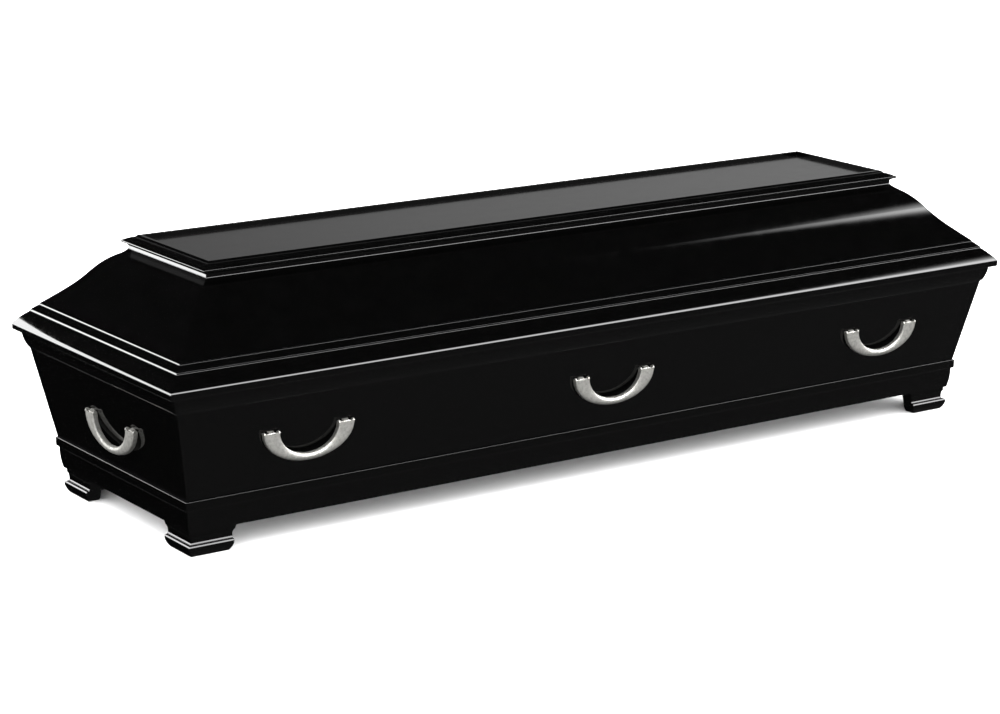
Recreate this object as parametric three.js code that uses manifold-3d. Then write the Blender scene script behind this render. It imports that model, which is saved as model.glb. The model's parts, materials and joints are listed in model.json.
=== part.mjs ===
// Black lacquered wooden coffin with a curved lid and eight hanging metal handles.
// Millimetres, +X along the coffin, -Y is the front side, +Z up, the origin on the floor under the middle.
import * as THREE from "three";
import { mergeVertices } from "three/addons/utils/BufferGeometryUtils.js";
import Module from "manifold-3d";

const wasm = await Module();
wasm.setup();

// Overall plan, over the nose of the lid's lower rail
const LID_LENGTH = 2050;
const LID_WIDTH = 650;

// Gap between pieces that touch
const JOINT_GAP = 0.3;

// Bracket feet
const FOOT_HEIGHT = 50;
const FOOT_LEG_LENGTH = 104.5;
const FOOT_LEG_THICKNESS = 32;
const FOOT_END_SLANT = 8.5;
const FOOT_END_SLANT_BOTTOM = 34;
const FOOT_SETBACK = 4.6;
const FOOT_COVE_DEPTH = 3.2;
const FOOT_COVE_TOP = 41;
const FOOT_COVE_BOTTOM = 27;
const FOOT_LEDGE_TOP = 24.4;
const FOOT_LEDGE_BOTTOM = 22.9;
const FOOT_LEDGE_PROJECTION = 1.5;
const FOOT_FILLET_SLANT = 1.3;
const FOOT_NOSE_PROJECTION = 7.6;
const FOOT_NOSE_ROUND = 3;
const FOOT_NOSE_SLANT = 1.4;
const FOOT_TOE_TAPER = 8;

// Plinth rails, with a bead along their top and a rebate for the floor inside
const PLINTH_COVE_HEIGHT = 44;
const PLINTH_TAPER = 5.6;
const BEAD_HEIGHT = 19.5;
const BEAD_PROJECTION = 3;
const BEAD_TOP_ROUND = 1.2;
const BEAD_UNDER_ROUND = 4;
const PLINTH_NECK = 1.9;
const PLINTH_TOP_WIDTH = 26;
const FLOOR_LEDGE = 16;
const FLOOR_THICKNESS = 18;

// Leaning side and end panels
const PANEL_HEIGHT = 180.5;
const PANEL_LEAN = 36.4;
const PANEL_THICKNESS = 20;

// Rim rails, the coved band under the lid
const RIM_HEIGHT = 34;
const RIM_INSET = 13;
const RIM_PROJECTION = 11.2;
const RIM_STEP = 1;
const RIM_WIDTH = 34;

// Lower rail of the lid, from its underside up
const LID_SEAT_WIDTH = 49;
const NOSE_HEIGHT = 11.4;
const NOSE_UNDER_ROUND = 4;
const NOSE_TOP_ROUND = 5.6;
const SLOPE_WIDTH = 27;
const SLOPE_RISE = 28.6;
const LOWER_STEP_RISE = 3.4;
const LOWER_STEP_ROUND = 0.6;
const FALL_WIDTH = 10.5;
const FALL_RISE = 8.6;
const UPPER_STEP_WIDTH = 3;
const UPPER_STEP_RISE = 3.9;
const LID_RAIL_TOP_WIDTH = 30;
const LID_RAIL_WEB = 30;

// Curved sides of the lid
const OGEE_RUN = 130;
const OGEE_RISE = 119.2;
const OGEE_THICKNESS = 18;
const OGEE_COVE_RUN = 11.5;
const OGEE_COVE_DROP = 10.2;
const OGEE_COVE_LIP = 1.6;
const OGEE_TURN_RUN = 57.5;
const OGEE_TURN_DROP = 50.5;

// Moulded frame round the top panel
const FRAME_NECK_HEIGHT = 8;
const FRAME_NECK_ROUND = 2;
const FRAME_NOSE_PROJECTION = 10.6;
const FRAME_NOSE_BOTTOM = 11;
const FRAME_NOSE_RADIUS = 3.2;
const FRAME_SHELF_HEIGHT = 23.6;
const FRAME_SHELF_WIDTH = 20.6;
const FRAME_RIM_HEIGHT = 27.5;
const FRAME_RIM_WIDTH = 10;
const FRAME_RIM_CROWN = 6;
const FRAME_RIM_INNER_FALL = 0.5;
const FRAME_RIM_OUTER_FALL = 3.9;
const TOP_PANEL_RECESS = 7.5;
const TOP_PANEL_THICKNESS = 12;
const TOP_PANEL_BEARING = 12;

// Hanging handles
const SIDE_HANDLE_INSET = 308;
const HANDLE_HEIGHT = 225.2;
const END_HANDLE_HEIGHT = 215.4;
const END_HANDLE_OFFSET = 20;
const BOW_WIDTH = 197;
const BOW_DROP = 62.4;
const BOW_ARM_WIDTH = 34;
const BOW_GRIP_HEIGHT = 14.5;
const BOW_DEPTH = 9.5;
const BOW_BEVEL = 1.2;
const BOW_TOP = 2.5;
const BOW_PLATE = 2;
const BOW_WALL = 3;
const BOW_POCKET = 12.5;
const BOW_SCALLOP = 3.2;
const BOW_PANEL_CLEARANCE = 1;
const PIN_DIAMETER = 3;
const PIN_CLEARANCE = 0.3;
const PIN_RECESS = 1;
const LUG_WIDTH = 13;
const LUG_TIP_RADIUS = 2.3;
const LUG_ROOT_TOP = 5;
const LUG_ROOT_BOTTOM = 7;

// Heights of the joints between the layers
const plinthBottom = FOOT_HEIGHT;
const beadBottom = plinthBottom + PLINTH_COVE_HEIGHT;
const panelBottom = beadBottom + BEAD_HEIGHT;
const panelTop = panelBottom + PANEL_HEIGHT;
const rimTop = panelTop + RIM_HEIGHT;
const lidBottom = rimTop + JOINT_GAP;
const slopeBottom = lidBottom + NOSE_HEIGHT;
const slopeTop = slopeBottom + SLOPE_RISE;
const fallBottom = slopeTop + LOWER_STEP_RISE;
const fallTop = fallBottom + FALL_RISE;
const ogeeFoot = fallTop + UPPER_STEP_RISE;
const ogeeTop = ogeeFoot + OGEE_RISE;
const frameTop = ogeeTop + FRAME_RIM_HEIGHT;

// Half widths of the layers. Every layer is a rectangle with the same mitred corners,
// so its half length is its half width plus the half length of the ridge.
const ridge = (LID_LENGTH - LID_WIDTH) / 2;
const nose = LID_WIDTH / 2;
const slopeIn = nose - SLOPE_WIDTH;
const fallOut = slopeIn - LOWER_STEP_ROUND;
const fallIn = fallOut - FALL_WIDTH;
const ogeeOut = fallIn - UPPER_STEP_WIDTH;
const ogeeIn = ogeeOut - OGEE_RUN;
const rimOut = nose - RIM_INSET;
const rimFoot = rimOut - RIM_PROJECTION;
const panelTopOut = rimFoot - RIM_STEP;
const panelBottomOut = panelTopOut - PANEL_LEAN;
const beadOut = panelBottomOut + BEAD_PROJECTION;
const plinthOut = panelBottomOut - PLINTH_NECK;
const plinthFoot = plinthOut - PLINTH_TAPER;
const footOut = plinthFoot - FOOT_SETBACK;
const footCove = footOut - FOOT_COVE_DEPTH;
const footNose = footCove + FOOT_NOSE_PROJECTION;
const plinthTopIn = beadOut - PLINTH_TOP_WIDTH;
const plinthIn = plinthTopIn - FLOOR_LEDGE;
const floorBottom = panelBottom - FLOOR_THICKNESS;
const panelLeanPerHeight = PANEL_LEAN / PANEL_HEIGHT;
const frameNoseOut = ogeeIn + FRAME_NOSE_PROJECTION;
const frameRimOut = frameNoseOut - FRAME_SHELF_WIDTH - JOINT_GAP;
const frameRimIn = frameRimOut - FRAME_RIM_WIDTH;
const topPanelTop = frameTop - TOP_PANEL_RECESS;
const topPanelBottom = topPanelTop - TOP_PANEL_THICKNESS;

const lacquer = () => new THREE.MeshStandardMaterial({ color: 0x08080a, roughness: 0.12, metalness: 0 });
const satinLacquer = () => new THREE.MeshStandardMaterial({ color: 0x2a2a2c, roughness: 0.4, metalness: 0 });
const bareBoard = () => new THREE.MeshStandardMaterial({ color: 0xb99a6b, roughness: 0.7, metalness: 0 });
const silver = () => new THREE.MeshStandardMaterial({ color: 0xc4c4c2, roughness: 0.35, metalness: 1 });

const coffin = new THREE.Group();
const sideTurns = { front: 0, right: Math.PI / 2, back: Math.PI, left: -Math.PI / 2 };

function addMesh(parent, name, geometry, material) {
  const mesh = new THREE.Mesh(geometry, material);
  mesh.name = name;
  parent.add(mesh);
  return mesh;
}

// Extrudes an outline given in half width and height,
// and hands each vertex and its station to a placing function.
function extrudeAlong(outline, stations, curveSegments, place) {
  const geometry = new THREE.ExtrudeGeometry(outline, {
    depth: stations,
    steps: stations,
    bevelEnabled: false,
    curveSegments,
  });
  const position = geometry.getAttribute("position");
  for (let i = 0; i < position.count; i += 1) {
    const placed = place(position.getX(i), position.getY(i), Math.round(position.getZ(i)));
    position.setXYZ(i, ...placed);
  }
  geometry.computeVertexNormals();
  return geometry;
}

// One side of a mitred frame. Its ends follow the corner diagonals, half a gap short of them.
function mitredSide(outline, side, curveSegments) {
  const isEnd = side === "left" || side === "right";
  const setOut = isEnd ? ridge : 0;
  const run = isEnd ? 0 : ridge;
  const mitreGap = JOINT_GAP * Math.SQRT1_2;
  return extrudeAlong(outline, 1, curveSegments, (half, height, station) => {
    const reach = run + half - mitreGap;
    return [station === 0 ? reach : -reach, -(setOut + half), height];
  });
}

function addMitredFrame(baseName, outline, curveSegments, material, names = {}) {
  for (const side of Object.keys(sideTurns)) {
    const name = names[side] ?? `${baseName}_${side}`;
    const mesh = addMesh(coffin, name, mitredSide(outline, side, curveSegments), material());
    mesh.rotation.z = sideTurns[side];
  }
}

function polygon(points) {
  return new THREE.Shape(points.map(([x, y]) => new THREE.Vector2(x, y)));
}

// Bracket foot: both legs carry the same moulding, from the floor up a toe that swells out to its nose,
// a slant, a ledge, a slanted fillet and a cove.
function footOutline() {
  const top = FOOT_HEIGHT - JOINT_GAP;
  const inside = footNose - FOOT_LEG_THICKNESS;
  const ledgeOut = footCove + FOOT_LEDGE_PROJECTION;
  const noseTop = FOOT_LEDGE_BOTTOM - FOOT_NOSE_ROUND;
  const shape = new THREE.Shape();
  shape.moveTo(inside, 0);
  shape.lineTo(footNose - FOOT_TOE_TAPER, 0);
  shape.quadraticCurveTo(footNose, noseTop / 2, footNose, noseTop);
  shape.lineTo(footNose - FOOT_NOSE_SLANT, FOOT_LEDGE_BOTTOM - 0.2);
  shape.lineTo(footNose - FOOT_NOSE_ROUND, FOOT_LEDGE_BOTTOM);
  shape.lineTo(ledgeOut, FOOT_LEDGE_BOTTOM + 0.4);
  shape.lineTo(footCove + FOOT_FILLET_SLANT, FOOT_LEDGE_TOP);
  shape.lineTo(footCove, FOOT_COVE_BOTTOM);
  shape.quadraticCurveTo(footCove, FOOT_COVE_TOP, footOut, FOOT_COVE_TOP);
  shape.lineTo(footOut, top);
  shape.lineTo(inside, top);
  for (const share of [0.7, 0.4, 0.2]) {
    shape.lineTo(inside, noseTop * share);
  }
  return shape;
}

// Length of a foot's leg at a height: it slants in below the plinth, and its toe is rounded under.
function legLength(height) {
  const slantRun = FOOT_HEIGHT - FOOT_END_SLANT_BOTTOM;
  const slant = FOOT_END_SLANT * Math.min(1, (FOOT_HEIGHT - height) / slantRun);
  const below = Math.max(0, 1 - height / (FOOT_LEDGE_BOTTOM - FOOT_NOSE_ROUND));
  return FOOT_LEG_LENGTH - slant - FOOT_TOE_TAPER * below ** 2;
}

function footGeometry() {
  return extrudeAlong(footOutline(), 2, 4, (half, height, station) => {
    const end = legLength(height) - footNose;
    if (station === 0) return [end, -half, height];
    return station === 1 ? [-half, -half, height] : [-half, end, height];
  });
}

const corners = [
  { name: "front_left", along: -1, turn: 0 },
  { name: "front_right", along: 1, turn: Math.PI / 2 },
  { name: "back_right", along: 1, turn: Math.PI },
  { name: "back_left", along: -1, turn: -Math.PI / 2 },
];
for (const { name, along, turn } of corners) {
  const foot = addMesh(coffin, `foot_${name}`, footGeometry(), lacquer());
  foot.position.x = along * ridge;
  foot.rotation.z = turn;
}

// Plinth rail: a convex face that tapers down, a bead with eased edges on top, the floor's rebate inside.
function plinthOutline() {
  const top = panelBottom - JOINT_GAP;
  const shape = new THREE.Shape();
  shape.moveTo(plinthIn, plinthBottom);
  shape.lineTo(plinthFoot, plinthBottom);
  shape.quadraticCurveTo(plinthOut, plinthBottom + PLINTH_COVE_HEIGHT * 0.45, plinthOut, beadBottom);
  shape.lineTo(beadOut - BEAD_UNDER_ROUND, beadBottom);
  shape.quadraticCurveTo(beadOut, beadBottom, beadOut, beadBottom + BEAD_UNDER_ROUND);
  shape.lineTo(beadOut, top - BEAD_TOP_ROUND);
  shape.quadraticCurveTo(beadOut, top, beadOut - BEAD_TOP_ROUND, top);
  shape.lineTo(plinthTopIn, top);
  shape.lineTo(plinthTopIn, floorBottom - JOINT_GAP);
  shape.lineTo(plinthIn, floorBottom - JOINT_GAP);
  return shape;
}
addMitredFrame("plinth_rail", plinthOutline(), 4, lacquer);

// Floor board, in the plinth's rebate
const floorHalf = plinthTopIn - JOINT_GAP;
const floorGeometry = new THREE.BoxGeometry(
  2 * (ridge + floorHalf), 2 * floorHalf, FLOOR_THICKNESS - JOINT_GAP,
);
const floorBoard = addMesh(coffin, "floor_board", floorGeometry, bareBoard());
floorBoard.position.z = (floorBottom + panelBottom - JOINT_GAP) / 2;

// Leaning panels
addMitredFrame(
  "panel",
  polygon([
    [panelBottomOut - PANEL_THICKNESS, panelBottom],
    [panelBottomOut, panelBottom],
    [panelTopOut, panelTop - JOINT_GAP],
    [panelTopOut - PANEL_THICKNESS, panelTop - JOINT_GAP],
  ]),
  1,
  lacquer,
  { front: "side_panel_front", back: "side_panel_back", left: "end_panel_left", right: "end_panel_right" },
);

// Rim rail: its face swells out towards the lid
function rimOutline() {
  const shape = new THREE.Shape();
  shape.moveTo(rimOut - RIM_WIDTH, panelTop);
  shape.lineTo(rimFoot, panelTop);
  shape.bezierCurveTo(
    rimFoot + RIM_PROJECTION * 0.45, panelTop + RIM_HEIGHT * 0.18,
    rimOut - RIM_PROJECTION * 0.12, panelTop + RIM_HEIGHT * 0.55,
    rimOut, rimTop,
  );
  shape.lineTo(rimOut - RIM_WIDTH, rimTop);
  return shape;
}
addMitredFrame("rim_rail", rimOutline(), 7, lacquer);

// Lower rail of the lid: nose, convex slope, rounded step, short fall, upper step
function lidRailOutline() {
  const topIn = ogeeOut - LID_RAIL_TOP_WIDTH;
  const seatIn = nose - LID_SEAT_WIDTH;
  const shape = new THREE.Shape();
  shape.moveTo(seatIn, lidBottom);
  shape.lineTo(nose - NOSE_UNDER_ROUND, lidBottom);
  shape.quadraticCurveTo(nose, lidBottom, nose, lidBottom + NOSE_UNDER_ROUND);
  shape.lineTo(nose, slopeBottom);
  shape.quadraticCurveTo(
    nose, slopeBottom + NOSE_TOP_ROUND * 0.4,
    nose - NOSE_TOP_ROUND * 0.5, slopeBottom + NOSE_TOP_ROUND,
  );
  shape.quadraticCurveTo(nose - SLOPE_WIDTH * 0.49, slopeTop - SLOPE_RISE * 0.375, slopeIn, slopeTop);
  shape.lineTo(slopeIn, fallBottom - LOWER_STEP_ROUND);
  shape.quadraticCurveTo(slopeIn, fallBottom, fallOut, fallBottom);
  shape.lineTo(fallIn, fallTop);
  shape.lineTo(ogeeOut + 1, fallTop + 1);
  shape.quadraticCurveTo(ogeeOut, fallTop + 1, ogeeOut, ogeeFoot - JOINT_GAP);
  shape.lineTo(topIn, ogeeFoot - JOINT_GAP);
  shape.lineTo(seatIn, lidBottom + LID_RAIL_WEB);
  return shape;
}
addMitredFrame("lid_rail", lidRailOutline(), 5, lacquer);

// Face of the lid's curved sides, from its top down: a small cove, a shoulder and a long sweep out
function ogeeCurve() {
  const top = ogeeTop;
  const coveEnd = new THREE.Vector2(ogeeIn + OGEE_COVE_RUN, top - OGEE_COVE_DROP);
  const turn = new THREE.Vector2(ogeeIn + OGEE_TURN_RUN, top - OGEE_TURN_DROP);
  const foot = new THREE.Vector2(ogeeOut, ogeeFoot);
  const shoulder = turn.clone().sub(coveEnd);
  const sweep = foot.clone().sub(turn);
  const path = new THREE.CurvePath();
  path.add(new THREE.CubicBezierCurve(
    new THREE.Vector2(ogeeIn, top),
    new THREE.Vector2(ogeeIn, top - OGEE_COVE_LIP),
    new THREE.Vector2(coveEnd.x - OGEE_COVE_RUN * 0.45, coveEnd.y + OGEE_COVE_DROP * 0.3),
    coveEnd,
  ));
  path.add(new THREE.CubicBezierCurve(
    coveEnd,
    new THREE.Vector2(coveEnd.x + shoulder.x * 0.42, coveEnd.y + shoulder.y * 0.26),
    new THREE.Vector2(turn.x - shoulder.x * 0.33, turn.y - shoulder.y * 0.46),
    turn,
  ));
  path.add(new THREE.CubicBezierCurve(
    turn,
    new THREE.Vector2(turn.x + sweep.x * 0.26, turn.y + sweep.y * 0.36),
    new THREE.Vector2(foot.x - sweep.x * 0.38, foot.y - sweep.y * 0.34),
    foot,
  ));
  return path;
}

function ogeeOutline() {
  const path = ogeeCurve();
  const steps = [3, 7, 7];
  const outer = [];
  path.curves.forEach((curve, n) => {
    const points = curve.getPoints(steps[n]);
    outer.push(...(n === 0 ? points : points.slice(1)));
  });
  const inner = [];
  path.curves.forEach((curve, n) => {
    for (let i = n === 0 ? 0 : 1; i <= steps[n]; i += 1) {
      const along = curve.getTangent(i / steps[n]);
      const behind = new THREE.Vector2(along.y, -along.x).multiplyScalar(OGEE_THICKNESS);
      inner.push(curve.getPoint(i / steps[n]).add(behind));
    }
  });
  const footTangent = path.curves[2].getTangent(1);
  const footIn = new THREE.Vector2(ogeeOut - OGEE_THICKNESS / Math.abs(footTangent.y), ogeeFoot);
  const kept = inner.filter((point) => point.y > ogeeFoot + 1 && point.y < ogeeTop - JOINT_GAP);
  const topGap = new THREE.Vector2(ogeeIn, ogeeTop - JOINT_GAP);
  const topIn = new THREE.Vector2(ogeeIn - OGEE_THICKNESS, ogeeTop - JOINT_GAP);
  return new THREE.Shape([topGap, topIn, ...kept, footIn, ...outer.slice(1).reverse()]);
}
addMitredFrame("lid_side", ogeeOutline(), 1, lacquer);

// Frame round the top panel: neck, overhanging nose, shallow shelf, rounded rim, rebate for the panel
function frameOutline() {
  const neckTop = ogeeTop + FRAME_NECK_HEIGHT;
  const noseBottom = ogeeTop + FRAME_NOSE_BOTTOM;
  const noseMiddle = noseBottom + FRAME_NOSE_RADIUS;
  const noseTop = noseMiddle + FRAME_NOSE_RADIUS;
  const shelfIn = frameNoseOut - FRAME_SHELF_WIDTH;
  const shelf = ogeeTop + FRAME_SHELF_HEIGHT;
  const shelfRun = frameNoseOut - FRAME_NOSE_RADIUS - shelfIn;
  const rebateIn = frameRimIn - TOP_PANEL_BEARING;
  const crown = frameRimIn + FRAME_RIM_CROWN;
  const shape = new THREE.Shape();
  shape.moveTo(rebateIn, ogeeTop);
  shape.lineTo(ogeeIn, ogeeTop);
  shape.lineTo(ogeeIn, neckTop - FRAME_NECK_ROUND);
  shape.quadraticCurveTo(ogeeIn, neckTop, frameNoseOut - FRAME_NOSE_RADIUS, noseBottom);
  shape.quadraticCurveTo(frameNoseOut, noseBottom, frameNoseOut, noseMiddle);
  shape.quadraticCurveTo(frameNoseOut, noseTop - 1, frameNoseOut - FRAME_NOSE_RADIUS, noseTop);
  shape.bezierCurveTo(
    frameNoseOut - shelfRun * 0.45, noseTop + 2,
    shelfIn + shelfRun * 0.4, shelf - 0.8,
    shelfIn, shelf,
  );
  shape.lineTo(frameRimOut, frameTop - FRAME_RIM_OUTER_FALL);
  shape.quadraticCurveTo(frameRimOut - FRAME_RIM_OUTER_FALL * 0.85, frameTop, crown, frameTop);
  shape.lineTo(frameRimIn + FRAME_RIM_INNER_FALL, frameTop);
  shape.quadraticCurveTo(frameRimIn, frameTop, frameRimIn, frameTop - FRAME_RIM_INNER_FALL);
  shape.lineTo(frameRimIn, topPanelBottom - JOINT_GAP);
  shape.lineTo(rebateIn, topPanelBottom - JOINT_GAP);
  return shape;
}
addMitredFrame("lid_top_frame", frameOutline(), 4, lacquer);

// Top panel, in the frame's rebate
const topPanelHalf = frameRimIn - JOINT_GAP;
const topPanelGeometry = new THREE.BoxGeometry(
  2 * (ridge + topPanelHalf), 2 * topPanelHalf, TOP_PANEL_THICKNESS,
);
const topPanel = addMesh(coffin, "lid_top_panel", topPanelGeometry, satinLacquer());
topPanel.position.z = (topPanelTop + topPanelBottom) / 2;

function toSolid(geometry) {
  const bare = geometry.clone();
  bare.deleteAttribute("normal");
  bare.deleteAttribute("uv");
  const merged = mergeVertices(bare, 1e-4);
  return new wasm.Manifold(new wasm.Mesh({
    numProp: 3,
    vertProperties: new Float32Array(merged.attributes.position.array),
    triVerts: new Uint32Array(merged.index.array),
  }));
}

function toGeometry(solid) {
  const mesh = solid.getMesh();
  const geometry = new THREE.BufferGeometry();
  geometry.setAttribute("position", new THREE.BufferAttribute(new Float32Array(mesh.vertProperties), 3));
  geometry.setIndex(new THREE.BufferAttribute(new Uint32Array(mesh.triVerts), 1));
  geometry.computeVertexNormals();
  return geometry;
}

function boxSolid(x0, x1, y0, y1, z0, z1) {
  const geometry = new THREE.BoxGeometry(x1 - x0, y1 - y0, z1 - z0);
  geometry.translate((x0 + x1) / 2, (y0 + y1) / 2, (z0 + z1) / 2);
  return toSolid(geometry);
}

// Cylinder along X from x0 to x1, on the handle's axis
function axisRod(radius, x0, x1, sides) {
  const geometry = new THREE.CylinderGeometry(radius, radius, x1 - x0, sides);
  geometry.rotateZ(Math.PI / 2);
  geometry.translate((x0 + x1) / 2, 0, 0);
  return toSolid(geometry);
}

const bowFront = -BOW_DEPTH / 2;
const bowBack = BOW_DEPTH / 2;
const armOut = BOW_WIDTH / 2;
const armIn = armOut - BOW_ARM_WIDTH;
const armMiddle = (armOut + armIn) / 2;

// U-shaped band between two half ellipses, in the handle's frame: its axis along X, the outside at -Y.
// Its front edges are bevelled and its back is flat.
function bowBand() {
  const shape = new THREE.Shape();
  const drop = BOW_DROP + BOW_TOP;
  const inset = BOW_BEVEL;
  const top = BOW_TOP - inset;
  const outWidth = armOut - inset;
  const inWidth = armIn + inset;
  shape.moveTo(outWidth, top);
  shape.lineTo(inWidth, top);
  shape.absellipse(0, top, inWidth, drop - BOW_GRIP_HEIGHT, 0, -Math.PI, true, 0);
  shape.lineTo(-outWidth, top);
  shape.absellipse(0, top, outWidth, drop - 2 * inset, -Math.PI, 0, false, 0);
  const geometry = new THREE.ExtrudeGeometry(shape, {
    depth: BOW_DEPTH - inset,
    steps: 1,
    bevelEnabled: true,
    bevelSize: inset,
    bevelThickness: inset,
    bevelSegments: 1,
    curveSegments: 8,
  });
  geometry.rotateX(Math.PI / 2);
  geometry.translate(0, bowBack, 0);
  const flatBack = boxSolid(-armOut, armOut, bowFront, bowBack, -BOW_DROP, BOW_TOP);
  return toSolid(geometry).intersect(flatBack);
}

// The bow: its arms are hollow at the top, with an ear on each side of the lug and a scalloped front edge
function bowSolid() {
  const scallopHalf = BOW_ARM_WIDTH / 2 - BOW_WALL;
  const scallopRadius = (scallopHalf ** 2 + BOW_SCALLOP ** 2) / (2 * BOW_SCALLOP);
  const holeRadius = PIN_DIAMETER / 2 + PIN_CLEARANCE;
  let bow = bowBand();
  for (const side of [-1, 1]) {
    const middle = side * armMiddle;
    for (const edge of [-1, 1]) {
      const outer = middle + edge * BOW_ARM_WIDTH / 2;
      const inner = outer - edge * BOW_WALL;
      bow = bow.add(axisRod(BOW_DEPTH / 2, Math.min(outer, inner), Math.max(outer, inner), 12));
    }
    bow = bow.subtract(boxSolid(
      middle - scallopHalf, middle + scallopHalf,
      bowFront + BOW_PLATE, bowBack + 1,
      BOW_TOP - BOW_POCKET, BOW_TOP + BOW_DEPTH,
    ));
    const scallop = new THREE.CylinderGeometry(scallopRadius, scallopRadius, BOW_PLATE + 2, 24);
    scallop.translate(middle, bowFront + BOW_PLATE / 2, BOW_TOP - BOW_SCALLOP + scallopRadius);
    const slot = boxSolid(
      middle - scallopHalf, middle + scallopHalf,
      bowFront - 1, bowFront + BOW_PLATE + 1,
      BOW_TOP - BOW_SCALLOP - 1, BOW_TOP + BOW_DEPTH,
    );
    bow = bow.subtract(toSolid(scallop).intersect(slot));
    const holeHalf = BOW_ARM_WIDTH / 2 + 1;
    bow = bow.subtract(axisRod(holeRadius, middle - holeHalf, middle + holeHalf, 8));
  }
  return bow;
}

// Distance from the panel's face out to the handle's axis
const axisOffset = BOW_DEPTH / 2 + BOW_PANEL_CLEARANCE;

// Lug: a wedge out of the panel, rounded at its tip, where the pin runs through it
function lugSolid() {
  const faceAt = (height) => axisOffset - panelLeanPerHeight * height - JOINT_GAP;
  const wedge = new THREE.Shape();
  wedge.moveTo(faceAt(-LUG_ROOT_BOTTOM), -LUG_ROOT_BOTTOM);
  wedge.lineTo(faceAt(LUG_ROOT_TOP), LUG_ROOT_TOP);
  wedge.absarc(0, 0, LUG_TIP_RADIUS, Math.PI * 0.6, Math.PI * 1.4, false);
  const geometry = new THREE.ExtrudeGeometry(wedge, {
    depth: LUG_WIDTH,
    steps: 1,
    bevelEnabled: false,
    curveSegments: 3,
  });
  geometry.rotateX(Math.PI / 2);
  geometry.rotateZ(Math.PI / 2);
  geometry.translate(-LUG_WIDTH / 2, 0, 0);
  const pinHalf = BOW_ARM_WIDTH / 2 - PIN_RECESS;
  return toSolid(geometry).add(axisRod(PIN_DIAMETER / 2, -pinHalf, pinHalf, 8));
}

const bowGeometry = toGeometry(bowSolid());
const lugGeometry = toGeometry(lugSolid());

function addHandle(name, side, along, height) {
  const isEnd = side === "left" || side === "right";
  const face = panelBottomOut + panelLeanPerHeight * (height - panelBottom);
  const handle = new THREE.Group();
  handle.rotation.z = sideTurns[side];
  const place = new THREE.Vector3(along, -(face + axisOffset + (isEnd ? ridge : 0)), height);
  handle.position.copy(place.applyAxisAngle(new THREE.Vector3(0, 0, 1), sideTurns[side]));
  coffin.add(handle);
  addMesh(handle, `handle_bow_${name}`, bowGeometry, silver());
  addMesh(handle, `handle_lug_${name}_a`, lugGeometry, silver()).position.x = -armMiddle;
  addMesh(handle, `handle_lug_${name}_b`, lugGeometry, silver()).position.x = armMiddle;
}

const sideHandleSpacing = LID_LENGTH / 2 - SIDE_HANDLE_INSET;
const places = { left: -1, middle: 0, right: 1 };
for (const [place, n] of Object.entries(places)) {
  addHandle(`front_${place}`, "front", n * sideHandleSpacing, HANDLE_HEIGHT);
  addHandle(`back_${place}`, "back", -n * sideHandleSpacing, HANDLE_HEIGHT);
}

// The end handles hang lower, and a little towards the front
addHandle("left_end", "left", END_HANDLE_OFFSET, END_HANDLE_HEIGHT);
addHandle("right_end", "right", -END_HANDLE_OFFSET, END_HANDLE_HEIGHT);

export default coffin;
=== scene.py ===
"""Black lacquered coffin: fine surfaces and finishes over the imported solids, studio and camera."""

import json  # noqa: E402
import logging  # noqa: E402
import math  # noqa: E402
from collections.abc import Callable, Sequence  # noqa: E402
from dataclasses import dataclass, field  # noqa: E402
from enum import Enum  # noqa: E402
from typing import Any  # noqa: E402

import bmesh  # noqa: E402
import bpy  # noqa: E402
import numpy as np  # noqa: E402
from mathutils import Matrix, Vector  # noqa: E402

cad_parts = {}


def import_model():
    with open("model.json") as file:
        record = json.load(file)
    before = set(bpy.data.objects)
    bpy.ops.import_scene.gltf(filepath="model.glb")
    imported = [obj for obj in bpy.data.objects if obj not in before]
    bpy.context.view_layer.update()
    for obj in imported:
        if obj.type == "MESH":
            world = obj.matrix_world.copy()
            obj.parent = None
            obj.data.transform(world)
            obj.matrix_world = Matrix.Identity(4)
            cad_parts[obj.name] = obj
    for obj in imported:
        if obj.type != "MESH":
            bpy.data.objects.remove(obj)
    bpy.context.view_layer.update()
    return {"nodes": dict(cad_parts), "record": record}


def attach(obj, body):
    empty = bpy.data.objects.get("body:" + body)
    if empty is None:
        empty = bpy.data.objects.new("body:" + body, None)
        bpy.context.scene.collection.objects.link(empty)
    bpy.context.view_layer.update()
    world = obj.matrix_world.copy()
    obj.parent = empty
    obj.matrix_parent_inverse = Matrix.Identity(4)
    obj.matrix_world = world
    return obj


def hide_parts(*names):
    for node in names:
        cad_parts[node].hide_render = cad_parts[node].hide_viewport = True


MM = 0.001
LOG = logging.getLogger("coffin")

# A light path's depth counts its first reflection as 2, so what lies below this is seen directly
# or in one reflection.
ONE_REFLECTION = 2.5

# How an outline's corners are eased: from this turn on, over at most this share of the shorter run
# beside them, and with this many points.
SHARP_TURN = math.radians(25)
EASED_SHARE = 0.4
EASED_POINTS = 5

Point = Sequence[float] | np.ndarray
Bends = tuple[tuple[float, float], tuple[float, float]]


def linear(code: str) -> tuple[float, float, float, float]:
    """Turns an sRGB hex colour to linear light.

    Args:
        code: Six hex digits, with or without a leading hash.

    Returns:
        Red, green, blue and a full alpha.
    """
    code = code.lstrip("#")
    parts = [int(code[i : i + 2], 16) / 255 for i in (0, 2, 4)]
    red, green, blue = (
        c / 12.92 if c <= 0.04045 else ((c + 0.055) / 1.055) ** 2.4 for c in parts
    )
    return (red, green, blue, 1.0)


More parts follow.
